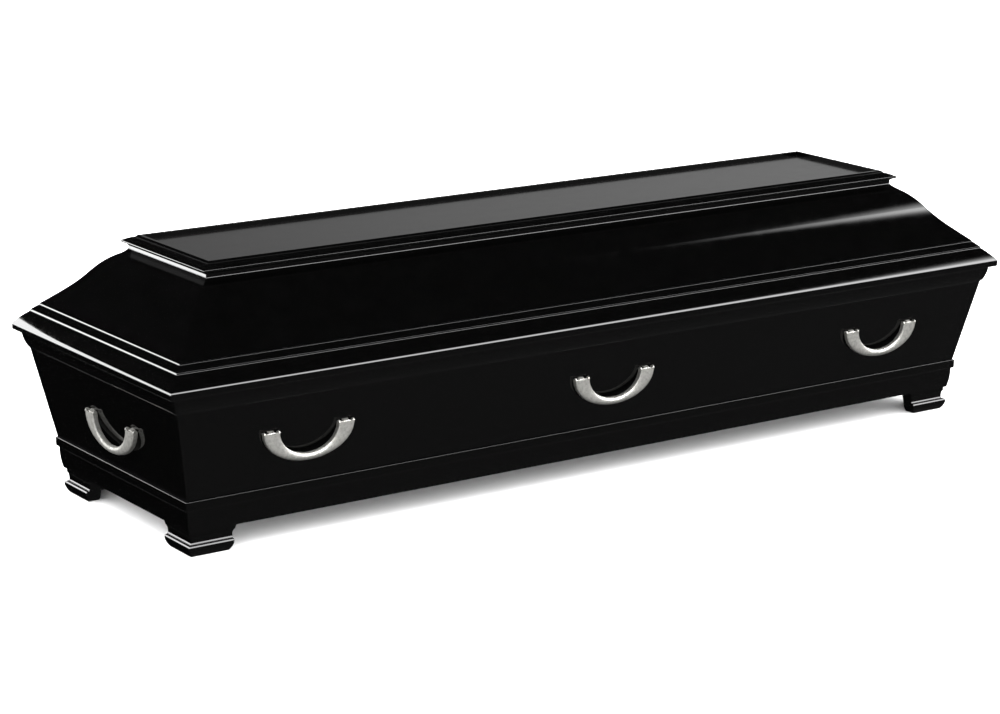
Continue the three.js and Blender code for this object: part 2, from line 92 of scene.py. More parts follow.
def add(
    tree: bpy.types.NodeTree,
    kind: str,
    settings: dict[str, Any] | None = None,
    stops: Sequence[tuple[float, float | str]] = (),
    **inputs: Any,
) -> bpy.types.Node:
    """Adds one shader node.

    Args:
        tree: The node tree that it goes into.
        kind: The node's type, without its ShaderNode prefix.
        settings: Attributes of the node, by name.
        stops: Places on a colour ramp, each with a grey level or a hex colour.
        **inputs: A value or an output socket for each input, by its name with _ for a space,
            or by i and its number.

    Returns:
        The node.
    """
    node = tree.nodes.new("ShaderNode" + kind)
    for key, value in (settings or {}).items():
        setattr(node, key, value)
    for n, (place, shade) in enumerate(stops):
        elements = node.color_ramp.elements
        element = elements[n] if n < len(elements) else elements.new(place)
        element.position = place
        element.color = linear(shade) if isinstance(shade, str) else (shade, shade, shade, 1.0)
    for key, value in inputs.items():
        numbered = key[0] == "i" and key[1:].isdigit()
        socket = node.inputs[int(key[1:]) if numbered else key.replace("_", " ")]
        if isinstance(value, bpy.types.NodeSocket):
            tree.links.new(value, socket)
        else:
            socket.default_value = value
    return node


def new_material(name: str) -> tuple[bpy.types.Material, bpy.types.NodeTree, bpy.types.NodeSocket]:
    """Starts a material that reads Object coordinates.

    Args:
        name: The material's name.

    Returns:
        The material, its emptied node tree and the coordinates' socket.
    """
    material = bpy.data.materials.new(name)
    material.use_nodes = True
    tree = material.node_tree
    tree.nodes.clear()
    return material, tree, add(tree, "TexCoord").outputs["Object"]


def noise(
    tree: bpy.types.NodeTree, place: bpy.types.NodeSocket, size_mm: float, **inputs: float
) -> bpy.types.Node:
    """Adds a noise pattern whose patches have a real size.

    Args:
        tree: The node tree that it goes into.
        place: The coordinates that it reads, in metres.
        size_mm: The size of its patches in millimetres.
        **inputs: Its other inputs, by name.

    Returns:
        The node.
    """
    return add(tree, "TexNoise", Vector=place, Scale=1 / (size_mm * MM), **inputs)


def close_material(tree: bpy.types.NodeTree, shader: bpy.types.Node) -> None:
    """Links a shader to the material's output."""
    out = add(tree, "OutputMaterial")
    tree.links.new(shader.outputs[0], out.inputs["Surface"])


@dataclass(frozen=True)
class BlackLacquer:
    """Black polyester lacquer over wood, sprayed thick, flatted and polished to a mirror.

    It gives the eye deep black with sharp reflections, a very faint ripple left by the spray,
    and a thin haze of polishing marks.
    """

    name: str = "black_polyester_lacquer_polished"
    colour: str = "#010101"
    roughness: float = 0.045
    haze: float = 0.05
    ripple_mm: float = 9.0
    ripple_depth_mm: float = 0.0035
    polish_mm: float = 35.0
    specular: float = 0.5

    def make(self) -> bpy.types.Material:
        """Builds the lacquer's nodes.

        Returns:
            The material.
        """
        material, tree, place = new_material(self.name)
        ripple = noise(tree, place, self.ripple_mm, Detail=1.5, Roughness=0.4)
        marks = noise(tree, place, self.polish_mm, Detail=6.0, Roughness=0.62)
        rough = add(
            tree,
            "ValToRGB",
            stops=[(0.35, self.roughness), (0.75, self.roughness + self.haze)],
            Fac=marks.outputs["Fac"],
        )
        bump = add(
            tree,
            "Bump",
            Height=ripple.outputs["Fac"],
            Strength=1.0,
            Distance=self.ripple_depth_mm * MM,
        )
        shader = add(
            tree,
            "BsdfPrincipled",
            Base_Color=linear(self.colour),
            Roughness=rough.outputs[0],
            IOR=1.5,
            Normal=bump.outputs["Normal"],
        )
        shader.inputs["Specular IOR Level"].default_value = self.specular
        close_material(tree, shader)
        return material


@dataclass(frozen=True)
class BareBoard:
    """Planed softwood, stained black and left matt, seen only under the coffin.

    It gives the eye a dull surface with long grain lines.
    """

    name: str = "pine_board_planed_black_stain"
    early: str = "#1B1A19"
    late: str = "#100F0F"
    ring_mm: float = 7.0
    fibre_mm: float = 0.9
    fibre_depth_mm: float = 0.15
    stretch: float = 20.0

    def make(self) -> bpy.types.Material:
        """Builds the wood's nodes, with a grain stretched along the coffin.

        Returns:
            The material.
        """
        material, tree, place = new_material(self.name)
        mapping = add(tree, "Mapping", Vector=place, Scale=(1 / self.stretch, 1.0, 1.0))
        along = mapping.outputs["Vector"]
        rings = noise(tree, along, self.ring_mm, Detail=3.0, Distortion=0.6)
        fibres = noise(tree, along, self.fibre_mm, Detail=2.0)
        stops = [(0.42, self.early), (0.62, self.late)]
        colour = add(tree, "ValToRGB", stops=stops, Fac=rings.outputs["Fac"])
        depth = self.fibre_depth_mm * MM
        bump = add(tree, "Bump", Height=fibres.outputs["Fac"], Strength=1.0, Distance=depth)
        rough = add(tree, "ValToRGB", stops=[(0.3, 0.62), (0.7, 0.8)], Fac=fibres.outputs["Fac"])
        shader = add(
            tree,
            "BsdfPrincipled",
            Base_Color=colour.outputs["Color"],
            Roughness=rough.outputs[0],
            IOR=1.45,
            Normal=bump.outputs["Normal"],
        )
        close_material(tree, shader)
        return material


@dataclass(frozen=True)
class SatinSilver:
    """Zinc casting, silver plated and satin brushed.

    It gives the eye a soft even silver, brighter where it turns to the light, with a fine grain.
    """

    name: str = "silver_plated_zinc_satin"
    colour: str = "#D5D4CF"
    dull: str = "#B4B3AE"
    roughness: float = 0.48
    rougher: float = 0.08
    smoother: float = 0.04
    grain_mm: float = 0.9
    cloud_mm: float = 6.0
    grain_depth_mm: float = 0.02

    def make(self) -> bpy.types.Material:
        """Builds the metal's nodes.

        Returns:
            The material.
        """
        material, tree, place = new_material(self.name)
        grain = noise(tree, place, self.grain_mm, Detail=3.0, Roughness=0.6)
        cloud = noise(tree, place, self.cloud_mm, Detail=4.0, Roughness=0.6)
        stops = [(0.3, self.dull), (0.6, self.colour)]
        colour = add(tree, "ValToRGB", stops=stops, Fac=cloud.outputs["Fac"])
        rough = add(
            tree,
            "ValToRGB",
            stops=[(0.3, self.roughness + self.rougher), (0.7, self.roughness - self.smoother)],
            Fac=cloud.outputs["Fac"],
        )
        depth = self.grain_depth_mm * MM
        bump = add(tree, "Bump", Height=grain.outputs["Fac"], Strength=1.0, Distance=depth)
        shader = add(
            tree,
            "BsdfPrincipled",
            Base_Color=colour.outputs["Color"],
            Metallic=1.0,
            Roughness=rough.outputs[0],
            Normal=bump.outputs["Normal"],
        )
        close_material(tree, shader)
        return material


class Side(Enum):
    """The four sides of a mitred frame, each with its turn about the vertical."""

    FRONT = 0.0
    RIGHT = math.pi / 2
    BACK = math.pi
    LEFT = -math.pi / 2

    @property
    def word(self) -> str:
        """The side's name as the solids have it."""
        return self.name.lower()

    @property
    def at_end(self) -> bool:
        """True for the two short ends."""
        return self in (Side.LEFT, Side.RIGHT)


def hold_flats(outline: np.ndarray) -> np.ndarray:
    """Adds a point near each end of a flat run, so that smooth shading bends only beyond it.

    A run more than three times as long as its neighbour gets a point at half the neighbour's
    length from the end that they share.

    Args:
        outline: The closed outline's points.

    Returns:
        The points with those that were added.
    """
    run = np.roll(outline, -1, 0) - outline
    length = np.linalg.norm(run, axis=1)
    before, after = np.roll(length, 1), np.roll(length, -1)
    near = outline + run * (0.5 * before / length)[:, None]
    far = outline + run * (1 - 0.5 * after / length)[:, None]
    keep = np.stack([length > 0, length > 3 * before, length > 3 * after], 1)
    return np.stack([outline, near, far], 1)[keep]


class Outline:
    """A closed outline in half width and height, in millimetres, drawn as lines and curves."""

    def __init__(self, half: float, height: float) -> None:
        """Starts the outline at a point."""
        self.runs: list[np.ndarray] = [np.array([[half, height]], float)]

    @property
    def end(self) -> np.ndarray:
        """The last point drawn."""
        return self.runs[-1][-1]

    def line(self, half: float, height: float) -> "Outline":
        """Adds a straight run to a point."""
        self.runs.append(np.array([[half, height]], float))
        return self

    def quad(self, control: Point, to: Point, steps: int = 10) -> "Outline":
        """Adds a parabola arc: (1-t)^2 of the start, 2t(1-t) of the control point and t^2 of the end.

        Args:
            control: The point where the two end tangents meet.
            to: The arc's end.
            steps: How many straight pieces it is drawn with.

        Returns:
            The outline itself.
        """
        t = np.linspace(0, 1, steps + 1)[1:, None]
        self.runs.append(
            (1 - t) ** 2 * self.end + 2 * t * (1 - t) * np.array(control) + t**2 * np.array(to)
        )
        return self

    def cubic(self, first: Point, second: Point, to: Point, steps: int) -> "Outline":
        """Adds a cubic arc, weighted by the four terms of ((1-t) + t)^3.

        Args:
            first: The point that it leaves towards.
            second: The point that it arrives from.
            to: The arc's end.
            steps: How many straight pieces it is drawn with.

        Returns:
            The outline itself.
        """
        t = np.linspace(0, 1, steps + 1)[1:, None]
        self.runs.append(
            (1 - t) ** 3 * self.end
            + 3 * t * (1 - t) ** 2 * np.array(first)
            + 3 * t**2 * (1 - t) * np.array(second)
            + t**3 * np.array(to)
        )
        return self

    def points(self, ease: float = 0.7) -> np.ndarray:
        """Eases the sharp corners and gives the whole outline.

        A corner that turns more than SHARP_TURN is replaced by a parabola arc that starts and ends
        at most ease millimetres, and at most EASED_SHARE of the shorter run, from it.

        Args:
            ease: How far each eased arris reaches along its two faces, in millimetres.

        Returns:
            The points, anticlockwise, as an array of half width and height.
        """
        p = np.concatenate(self.runs)
        p = p[np.linalg.norm(p - np.roll(p, 1, 0), axis=1) > 1e-6]
        back, ahead = np.roll(p, 1, 0) - p, np.roll(p, -1, 0) - p
        back_length, ahead_length = np.linalg.norm(back, axis=1), np.linalg.norm(ahead, axis=1)
        cosine = -(back * ahead).sum(1) / (back_length * ahead_length)
        sharp = cosine < math.cos(SHARP_TURN)
        shorter = np.minimum(back_length, ahead_length)
        reach = np.where(sharp, np.minimum(ease, EASED_SHARE * shorter), 0)
        start = p + back * (reach / back_length)[:, None]
        stop = p + ahead * (reach / ahead_length)[:, None]
        t = np.linspace(0, 1, EASED_POINTS)[None, :, None]
        eased = (1 - t) ** 2 * start[:, None] + 2 * t * (1 - t) * p[:, None] + t**2 * stop[:, None]
        keep = np.ones((len(p), EASED_POINTS), bool)
        keep[~sharp, 1:] = False
        out = hold_flats(eased[keep])
        area = 0.5 * (out[:, 0] * np.roll(out[:, 1], -1) - np.roll(out[:, 0], -1) * out[:, 1]).sum()
        return out if area > 0 else out[::-1]


def make_piece(
    name: str,
    points: np.ndarray,
    faces: Sequence[Sequence[int]],
    material: bpy.types.Material,
    sharp_degrees: float = 28.0,
) -> bpy.types.Object:
    """Puts points and faces into a mesh that is smooth except at its sharp edges.

    Args:
        name: The piece's name.
        points: Its vertices in metres, one row each.
        faces: Vertex numbers of each face, anticlockwise from outside.
        material: Its finish.
        sharp_degrees: Faces that meet at more than this keep a crisp edge.

    Returns:
        The object, at the origin.
    """
    mesh = bpy.data.meshes.new(name)
    mesh.from_pydata(points.tolist(), [], [list(f) for f in faces])
    mesh.materials.append(material)
    mesh.shade_smooth()
    mesh.set_sharp_from_angle(angle=math.radians(sharp_degrees))
    mesh.update()
    piece = bpy.data.objects.new(name, mesh)
    bpy.context.scene.collection.objects.link(piece)
    return piece


def loop_grid(loops: np.ndarray) -> list[list[int]]:
    """Numbers the faces of closed loops laid one after another, with a cap on the first and last.

    Args:
        loops: Vertices as stations by points of one loop by 3, the loop anticlockwise when it is
            looked at against the direction from the first station to the last.

    Returns:
        Quads between neighbouring loops and the two caps.
    """
    stations, n = loops.shape[:2]
    i, k = np.meshgrid(np.arange(stations - 1), np.arange(n), indexing="ij")
    a, b = i * n + k, i * n + (k + 1) % n
    quads = np.stack([a, b, b + n, a + n], -1).reshape(-1, 4)
    first, last = np.arange(n)[::-1], (stations - 1) * n + np.arange(n)
    return [*quads.tolist(), first.tolist(), last.tolist()]


@dataclass
class Plan:
    """The plan that every layer shares, in millimetres.

    Each layer is a rectangle whose half length is its half width plus the ridge.
    """

    ridge: float = 700.0
    mitre_gap: float = 0.02

    def side(self, outline: np.ndarray, side: Side) -> np.ndarray:
        """Carries an outline along one side between its two corner diagonals.

        A point at half width b and height h goes to x = -(run + b) and +(run + b), y = -(out + b)
        and z = h, turned to the side. Run is the ridge on a long side and out is it on an end.

        Args:
            outline: Half widths and heights in millimetres, anticlockwise.
            side: Which side of the frame.

        Returns:
            Two loops of vertices in metres.
        """
        run, out = (0.0, self.ridge) if side.at_end else (self.ridge, 0.0)
        half, height = outline[:, 0], outline[:, 1]
        reach = run + half - self.mitre_gap
        flat = np.stack([np.stack([s * reach, -(out + half), height], -1) for s in (-1, 1)])
        turn = np.array(Matrix.Rotation(side.value, 3, "Z"))
        return flat @ turn.T * MM


class Dresser:
    """Makes pieces of the fixed part of the coffin and stands them in for their solids."""

    def __init__(self, plan: Plan, nodes: dict[str, bpy.types.Object]) -> None:
        """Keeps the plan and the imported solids."""
        self.plan = plan
        self.nodes = nodes

    def frame(
        self,
        node: Callable[[Side], str],
        outline: np.ndarray,
        material: bpy.types.Material,
        slot: str,
    ) -> None:
        """Makes the four mitred sides of one layer.

        Args:
            node: Gives the solid's name for a side.
            outline: The layer's outline in half width and height.
            material: Its finish.
            slot: The record's material slot; not used.
        """
        for side in Side:
            loops = self.plan.side(outline, side)
            piece = make_piece("fine_" + node(side), loops.reshape(-1, 3), loop_grid(loops), material)
            self.stand_in(piece, node(side), "coffin")

    def stand_in(self, piece: bpy.types.Object, node: str, body: str) -> None:
        """Lets a piece ride on a body in place of a solid, and reports it.

        Args:
            piece: The fine piece.
            node: The solid's name.
            body: The body that it moves with.
        """
        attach(piece, body)
        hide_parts(node)
        LOG.info("%s: %d faces for %s", piece.name, len(piece.data.polygons), node)

    def wear(self, node: str, material: bpy.types.Material) -> None:
        """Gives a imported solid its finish.

        Args:
            node: The solid's name.
            material: Its finish.
        """
        mesh = self.nodes[node].data
        mesh.materials.clear()
        mesh.materials.append(material)
        LOG.info("%s wears %s", node, material.name)


@dataclass
class Lid:
    """The hollow lid: lower rail, curved boards, moulded frame and the flat top panel.

    Sizes are in millimetres. Pairs are across and up. The rounds and leans of the steps are small:
    they draw the lid's highlights.
    """

    joint: float = 0.1

    nose: float = 325.0
    bottom: float = 328.3
    seat: float = 49.0
    rail_web: float = 30.0
    rail_top_width: float = 30.0
    nose_under_round: float = 4.0
    nose_height: float = 11.4
    nose_round: tuple[float, float] = (2.8, 5.6)
    nose_bend: float = 2.24
    slope_top: float = 40.0
    slope_width: float = 27.0
    slope_bend: tuple[float, float] = (13.23, 10.73)
    lower_step_rise: float = 3.4
    lower_step_round: float = 0.6
    lower_step_lean: tuple[float, float] = (0.4, 0.5)
    fall_width: float = 10.5
    fall_rise: float = 8.6
    upper_ledge: float = 1.0
    upper_step_lean: tuple[float, float] = (0.45, 0.35)

    ogee_out: float = 283.9
    ogee_foot: float = 384.2
    ogee_in: float = 153.9
    ogee_top: float = 503.4
    cove_to: tuple[float, float] = (11.5, -10.2)
    cove_drop: float = 1.6
    cove_reach: tuple[float, float] = (5.175, -3.06)
    shoulder_to: tuple[float, float] = (57.5, -50.5)
    shoulder_bends: Bends = ((0.42, 0.26), (0.33, 0.46))
    sweep_bends: Bends = ((0.26, 0.36), (0.38, 0.34))
    board: float = 18.0
    board_trim: float = 1.0
    board_ease: float = 0.05

    frame_neck: float = 6.0
    frame_neck_bend: float = 8.0
    frame_nose: float = 10.6
    frame_nose_radius: float = 3.2
    frame_nose_heights: tuple[float, float, float] = (11.0, 15.2, 17.4)
    frame_nose_bend: float = 1.0
    frame_shelf: float = 20.6
    frame_shelf_height: float = 23.6
    frame_shelf_bends: Bends = ((0.45, 2.0), (0.4, 0.8))
    frame_height: float = 27.5
    frame_rim_lean: float = 0.3
    frame_rim: float = 10.0
    frame_rim_fall: float = 3.9
    frame_rim_bend: float = 3.3
    frame_rim_crown: float = 6.0
    frame_rim_inner_round: float = 0.5
    frame_bearing: float = 12.0
    frame_ease: float = 0.35
    recess: float = 7.5
    panel: float = 12.0
    panel_gap: float = 0.3

    def rail(self) -> np.ndarray:
        """The lower rail: nose, convex slope, rounded step, short fall and upper step.

        Returns:
            The points, as an array of half width and height in millimetres.
        """
        nose, low = self.nose, self.bottom
        seat_in, top_in = nose - self.seat, self.ogee_out - self.rail_top_width
        nose_top, slope_top = low + self.nose_height, low + self.slope_top
        slope_in = nose - self.slope_width
        out = Outline(seat_in, low).line(nose - self.nose_under_round, low)
        out.quad((nose, low), (nose, low + self.nose_under_round))
        out.line(nose, nose_top)
        round_in, round_up = self.nose_round
        out.quad((nose, nose_top + self.nose_bend), (nose - round_in, nose_top + round_up))
        bend_in, bend_down = self.slope_bend
        out.quad((nose - bend_in, slope_top - bend_down), (slope_in, slope_top), steps=14)

        fall_low = slope_top + self.lower_step_rise
        fall_top = fall_low + self.fall_rise
        fall_out = slope_in - self.lower_step_round
        lean_low, lean_top = self.lower_step_lean
        out.line(slope_in - lean_low, fall_low - self.lower_step_round)
        out.quad((slope_in - lean_top, fall_low), (fall_out - lean_top, fall_low), steps=6)
        out.line(fall_out - self.fall_width, fall_top)

        step, ledge = self.ogee_out, self.upper_ledge
        lean_low, lean_top = self.upper_step_lean
        top = self.ogee_foot - self.joint
        out.line(step + ledge, fall_top + ledge)
        out.quad((step + lean_low, fall_top + ledge), (step + lean_top, fall_top + 2 * ledge), steps=4)
        out.line(step, top).line(step - self.joint, top)
        out.line(top_in, top).line(seat_in, low + self.rail_web)
        return out.points()

    def ogee(self) -> np.ndarray:
        """A curved board: a cove, a shoulder and a sweep, with the inner face a board behind.

        Returns:
            The points, as an array of half width and height in millimetres.
        """
        neck = np.array([self.ogee_in, self.ogee_top])
        inward, top = neck
        cove, shoulder = neck + self.cove_to, neck + self.shoulder_to
        foot = np.array([self.ogee_out, self.ogee_foot])
        face = Outline(inward, top)
        face.cubic((inward, top - self.cove_drop), cove - self.cove_reach, cove, steps=18)
        for start, to, (leaving, arriving) in (
            (cove, shoulder, self.shoulder_bends),
            (shoulder, foot, self.sweep_bends),
        ):
            span = to - start
            face.cubic(start + span * leaving, to - span * arriving, to, steps=24)
        outer = np.concatenate(face.runs)
        along = np.gradient(outer, axis=0)
        along /= np.linalg.norm(along, axis=1)[:, None]
        inner = outer + np.stack([along[:, 1], -along[:, 0]], -1) * self.board
        height = inner[:, 1]
        inner = inner[(height > self.ogee_foot + self.board_trim) & (height < top - self.board_trim)]
        foot_in = self.ogee_out - self.board / abs(along[-1, 1])
        first = [[inward - self.board, top - self.joint]]
        whole = np.concatenate([first, inner, [[foot_in, self.ogee_foot]], outer[::-1]])
        out = Outline(*whole[0])
        out.runs.append(whole[1:])
        return out.points(self.board_ease)

    def top_frame(self) -> np.ndarray:
        """The frame round the top panel: neck, overhanging nose, shallow shelf and rounded rim.

        Returns:
            The points, as an array of half width and height in millimetres.
        """
        low, inward = self.ogee_top, self.ogee_in
        nose, radius = inward + self.frame_nose, self.frame_nose_radius
        under, middle, over = (low + height for height in self.frame_nose_heights)
        shelf_in, shelf = nose - self.frame_shelf, low + self.frame_shelf_height
        rim_out = shelf_in - self.frame_rim_lean
        rim_in = rim_out - self.frame_rim
        out = Outline(rim_in - self.frame_bearing, low)
        out.line(inward, low).line(inward, low + self.frame_neck)
        out.quad((inward, low + self.frame_neck_bend), (nose - radius, under))
        out.quad((nose, under), (nose, middle))
        out.quad((nose, over - self.frame_nose_bend), (nose - radius, over))

        run = nose - radius - shelf_in
        (near, rise), (far, drop) = self.frame_shelf_bends
        leaving, arriving = (nose - run * near, over + rise), (shelf_in + run * far, shelf - drop)
        out.cubic(leaving, arriving, (shelf_in, shelf), steps=14)

        top, inner = low + self.frame_height, self.frame_rim_inner_round
        out.line(rim_out, top - self.frame_rim_fall)
        out.quad((rim_out - self.frame_rim_bend, top), (rim_in + self.frame_rim_crown, top), steps=12)
        out.line(rim_in + inner, top).quad((rim_in, top), (rim_in, top - inner), steps=4)
        rebate = top - self.recess - self.panel - self.panel_gap
        out.line(rim_in, rebate).line(rim_in - self.frame_bearing, rebate)
        return out.points(self.frame_ease)

    def dress(self, dresser: Dresser, lacquer: bpy.types.Material, panel: bpy.types.Material) -> None:
        """Builds the lid's fine pieces and finishes its top panel.

        Args:
            dresser: Stands the pieces in for their solids.
            lacquer: The finish of the mouldings and the boards.
            panel: The finish of the top panel.
        """
        dresser.frame(lambda s: f"lid_rail_{s.word}", self.rail(), lacquer, "black_lacquer")
        dresser.frame(lambda s: f"lid_side_{s.word}", self.ogee(), lacquer, "black_lacquer")
        dresser.frame(lambda s: f"lid_top_frame_{s.word}", self.top_frame(), lacquer, "black_lacquer")
        dresser.wear("lid_top_panel", panel)


@dataclass
class Box:
    """The box: plinth rails with their bead, leaning panels, rim rails and the floor board.

    Sizes are in millimetres.
    """

    plinth_foot: float = 255.9
    plinth_out: float = 261.5
    plinth_swell: float = 19.8
    bottom: float = 50.0
    bead_low: float = 94.0
    bead_out: float = 266.4
    bead_top_round: float = 1.2
    bead_under_round: float = 4.0
    bead_width: float = 26.0
    floor_bearing: float = 16.0
    floor: float = 18.0
    panel_low: float = 113.5
    panel_gap: float = 0.3
    rim_low: float = 294.0
    rim_height: float = 34.0
    rim_out: float = 312.0
    rim_projection: float = 11.2
    rim_width: float = 34.0
    rim_low_bend: tuple[float, float] = (0.45, 0.18)
    rim_high_bend: tuple[float, float] = (0.12, 0.55)

    def plinth(self) -> np.ndarray:
        """The base rail: a convex face, an eased bead on top and the floor's rebate inside.

        Returns:
            The points, as an array of half width and height in millimetres.
        """
        top = self.panel_low - self.panel_gap
        top_in = self.bead_out - self.bead_width
        inward = top_in - self.floor_bearing
        rebate = self.panel_low - self.floor - self.panel_gap
        under, over = self.bead_under_round, self.bead_top_round
        out = Outline(inward, self.bottom).line(self.plinth_foot, self.bottom)
        swell = (self.plinth_out, self.bottom + self.plinth_swell)
        out.quad(swell, (self.plinth_out, self.bead_low), steps=14)
        out.line(self.bead_out - under, self.bead_low)
        out.quad((self.bead_out, self.bead_low), (self.bead_out, self.bead_low + under), steps=8)
        out.line(self.bead_out, top - over)
        out.quad((self.bead_out, top), (self.bead_out - over, top), steps=8)
        out.line(top_in, top).line(top_in, rebate).line(inward, rebate)
        return out.points()

    def rim(self) -> np.ndarray:
        """The rim rail, whose face swells out towards the lid.

        Returns:
            The points, as an array of half width and height in millimetres.
        """
        low, top = self.rim_low, self.rim_low + self.rim_height
        foot, inside = self.rim_out - self.rim_projection, self.rim_out - self.rim_width
        (low_out, low_up), (high_in, high_up) = self.rim_low_bend, self.rim_high_bend
        out = Outline(inside, low).line(foot, low)
        out.cubic(
            (foot + self.rim_projection * low_out, low + self.rim_height * low_up),
            (self.rim_out - self.rim_projection * high_in, low + self.rim_height * high_up),
            (self.rim_out, top),
            steps=18,
        )
        out.line(inside, top)
        return out.points()

    def dress(self, dresser: Dresser, lacquer: bpy.types.Material, board: bpy.types.Material) -> None:
        """Builds the box's fine pieces and finishes its panels and floor.

        Args:
            dresser: Stands the pieces in for their solids.
            lacquer: The finish of all that shows.
            board: The finish of the floor board.
        """
        dresser.frame(lambda s: f"plinth_rail_{s.word}", self.plinth(), lacquer, "black_lacquer")
        dresser.frame(lambda s: f"rim_rail_{s.word}", self.rim(), lacquer, "black_lacquer")
        for node in ("side_panel_front", "side_panel_back", "end_panel_left", "end_panel_right"):
            dresser.wear(node, lacquer)
        dresser.wear("floor_board", board)


@dataclass
class BracketFeet:
    """Four corner feet, each with the same moulding on its two outer faces, in millimetres."""

    height: float = 50.0
    joint: float = 0.1
    leg: float = 104.5
    thickness: float = 32.0
    slant: float = 8.5
    slant_bottom: float = 34.0
    ledge: float = 22.9
    ledge_rise: float = 0.4
    nose_round: float = 3.0
    nose_slant: tuple[float, float] = (1.4, 0.2)
    nose_projection: float = 7.6
    taper: float = 8.0
    face: float = 251.3
    fillet_foot: float = 1.5
    fillet_head: tuple[float, float] = (1.3, 24.4)
    cove_depth: float = 3.2
    cove_low: float = 27.0
    cove_top: float = 41.0
    end_rows: tuple[float, ...] = (0.75, 0.5, 0.35, 0.2, 0.1)
    ease: float = 0.4
    corners: dict[str, tuple[int, float]] = field(
        default_factory=lambda: {
            "front_left": (-1, 0.0),
            "front_right": (1, math.pi / 2),
            "back_right": (1, math.pi),
            "back_left": (-1, -math.pi / 2),
        }
    )

    def outline(self) -> np.ndarray:
        """The foot's section: a toe that swells out to its nose, a slant, a ledge, a fillet and a cove.

        The rows on the inside let the leg's end follow the toe's round.

        Returns:
            The points, as an array of half width and height in millimetres.
        """
        cove = self.face - self.cove_depth
        nose = cove + self.nose_projection
        nose_top = self.ledge - self.nose_round
        inside, top = nose - self.thickness, self.height - self.joint
        slant_in, slant_down = self.nose_slant
        head_out, head = self.fillet_head
        out = Outline(inside, 0).line(nose - self.taper, 0)
        out.quad((nose, nose_top / 2), (nose, nose_top), steps=14)
        out.line(nose - slant_in, self.ledge - slant_down).line(nose - self.nose_round, self.ledge)
        out.line(cove + self.fillet_foot, self.ledge + self.ledge_rise).line(cove + head_out, head)
        out.line(cove, self.cove_low).quad((cove, self.cove_top), (self.face, self.cove_top))
        out.line(self.face, top).line(inside, top)
        for share in self.end_rows:
            out.line(inside, nose_top * share)
        return out.points(self.ease)

    def leg_length(self, height: np.ndarray) -> np.ndarray:
        """Length of a leg: it slants in below the plinth, and its toe is rounded under.

        The slant grows evenly from the top down to slant_bottom. Below the nose the leg loses its
        taper times the square of the share of the way down.

        Args:
            height: Heights above the floor.

        Returns:
            The length at each height.
        """
        slant = self.slant * np.minimum(1, (self.height - height) / (self.height - self.slant_bottom))
        below = np.maximum(0, 1 - height / (self.ledge - self.nose_round))
        return self.leg - slant - self.taper * below**2

    def dress(self, dresser: Dresser, lacquer: bpy.types.Material) -> None:
        """Builds the four feet.

        A point at half width b and height h goes to the end of the front leg, to the corner
        diagonal and to the end of the side leg, and the foot is then turned to its corner.

        Args:
            dresser: Stands the pieces in for their solids.
            lacquer: Their finish.
        """
        outline = self.outline()
        half, height = outline[:, 0], outline[:, 1]
        nose = self.face - self.cove_depth + self.nose_projection
        end = self.leg_length(height) - nose
        loops = np.stack(
            [
                np.stack([-half, end, height], -1),
                np.stack([-half, -half, height], -1),
                np.stack([end, -half, height], -1),
            ]
        )
        for corner, (along, turn) in self.corners.items():
            rotation = np.array(Matrix.Rotation(turn, 3, "Z"))
            placed = (loops @ rotation.T + np.array([along * dresser.plan.ridge, 0, 0])) * MM
            node = f"foot_{corner}"
            piece = make_piece("fine_" + node, placed.reshape(-1, 3), loop_grid(placed), lacquer)
            dresser.stand_in(piece, node, "coffin")


def closed_mesh(name: str, shells: Sequence[np.ndarray]) -> bpy.types.Object:
    """Joins lofted shells into one object whose faces point out.

    Args:
        name: The object's name.
        shells: For each shell its vertices in millimetres, as stations by points by 3.

    Returns:
        The object, in the scene.
    """
    points = np.concatenate([shell.reshape(-1, 3) for shell in shells]) * MM
    faces, first = [], 0
    for shell in shells:
        faces += [[first + v for v in face] for face in loop_grid(shell)]
        first += shell.shape[0] * shell.shape[1]
    mesh = bpy.data.meshes.new(name)
    mesh.from_pydata(points.tolist(), [], faces)
    work = bmesh.new()
    work.from_mesh(mesh)
    bmesh.ops.recalc_face_normals(work, faces=work.faces)
    work.to_mesh(mesh)
    work.free()
    piece = bpy.data.objects.new(name, mesh)
    bpy.context.scene.collection.objects.link(piece)
    return piece


def ease_edges(piece: bpy.types.Object, width_mm: float, above_degrees: float) -> None:
    """Puts a small round on every edge sharper than an angle.

    Args:
        piece: The object.
        width_mm: How far the round reaches from the edge.
        above_degrees: The angle between two faces from which their edge is rounded.
    """
    bevel = piece.modifiers.new("eased edges", "BEVEL")
    bevel.width = width_mm * MM
    bevel.segments = 2
    bevel.limit_method = "ANGLE"
    bevel.angle_limit = math.radians(above_degrees)


def finished_copy(
    piece: bpy.types.Object, name: str, sharp_degrees: float = 32.0
) -> bpy.types.Mesh:
    """Gives a piece's mesh with its modifiers worked in, smooth except at sharp edges.

    Args:
        piece: The object with its modifiers.
        name: The new mesh's name.
        sharp_degrees: Faces that meet at more than this keep a crisp edge.

    Returns:
        The new mesh.
    """
    depsgraph = bpy.context.evaluated_depsgraph_get()
    mesh = bpy.data.meshes.new_from_object(piece.evaluated_get(depsgraph))
    mesh.name = name
    mesh.shade_smooth()
    mesh.set_sharp_from_angle(angle=math.radians(sharp_degrees))
    return mesh


